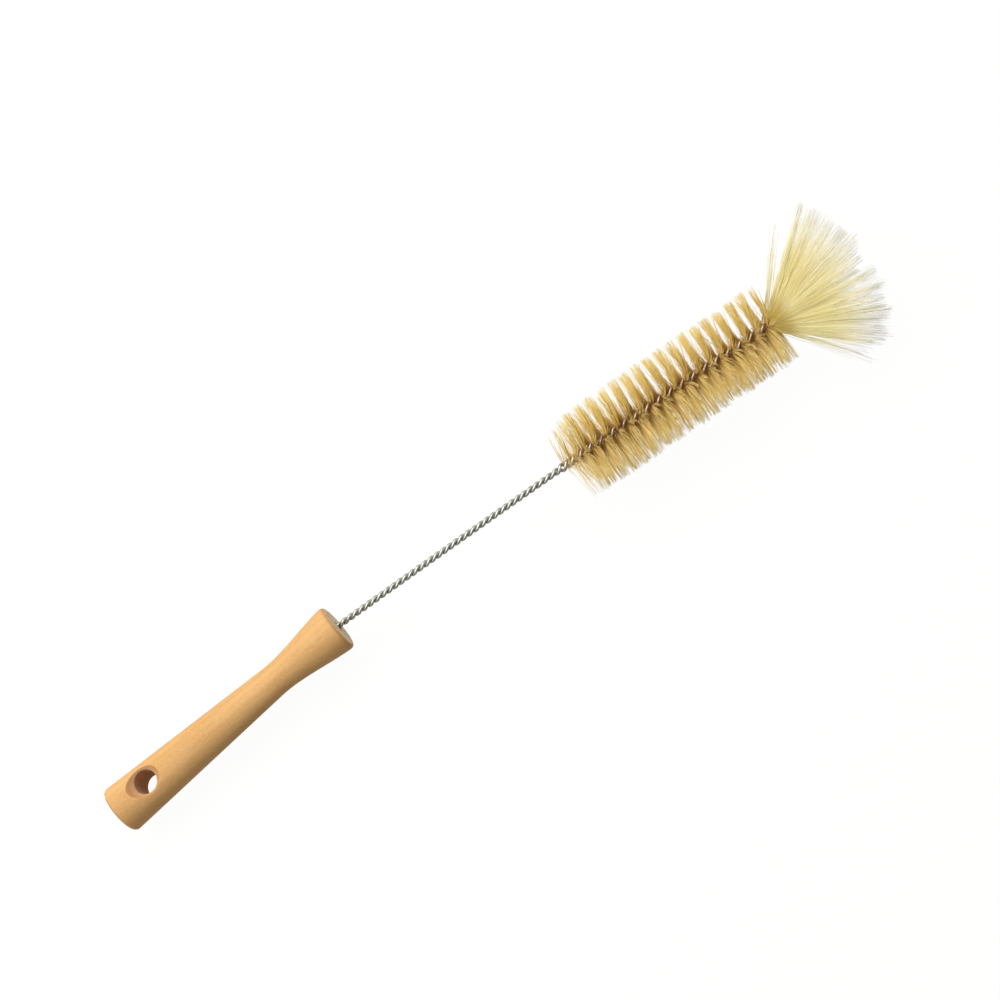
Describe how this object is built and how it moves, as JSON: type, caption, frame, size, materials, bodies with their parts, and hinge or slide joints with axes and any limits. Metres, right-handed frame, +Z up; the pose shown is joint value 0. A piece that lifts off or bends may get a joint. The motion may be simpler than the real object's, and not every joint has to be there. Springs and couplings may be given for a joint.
{
  "type": "bottle brush",
  "caption": "Long bottle brush with a turned wooden handle, a twisted wire shank, a cylindrical spiral bristle head and a fan-shaped bristle tuft at the tip.",
  "frame": {"origin": "on the surface that the brush lies on, below the middle of its bounding box", "axes": "+X runs along the brush from the handle's butt to the tip tuft, +Z is up from the surface that it lies on, +Y is to the left when looking along +X"},
  "size_m": [0.4004, 0.0776, 0.0413],
  "materials": {
    "wood": "satin clear-coated beech, with darker bare wood in the hanging hole",
    "wire": "bright drawn steel wire, slightly dulled",
    "head_bristle": "golden tan natural bristle with pale tips and brown roots",
    "tuft_bristle": "pale straw-yellow natural bristle"
  },
  "bodies": {
    "root": {"handle": "wood", "twisted_wire": "wire", "head_bristles": "head_bristle", "tip_tuft": "tuft_bristle"}
  },
  "joints": []
}
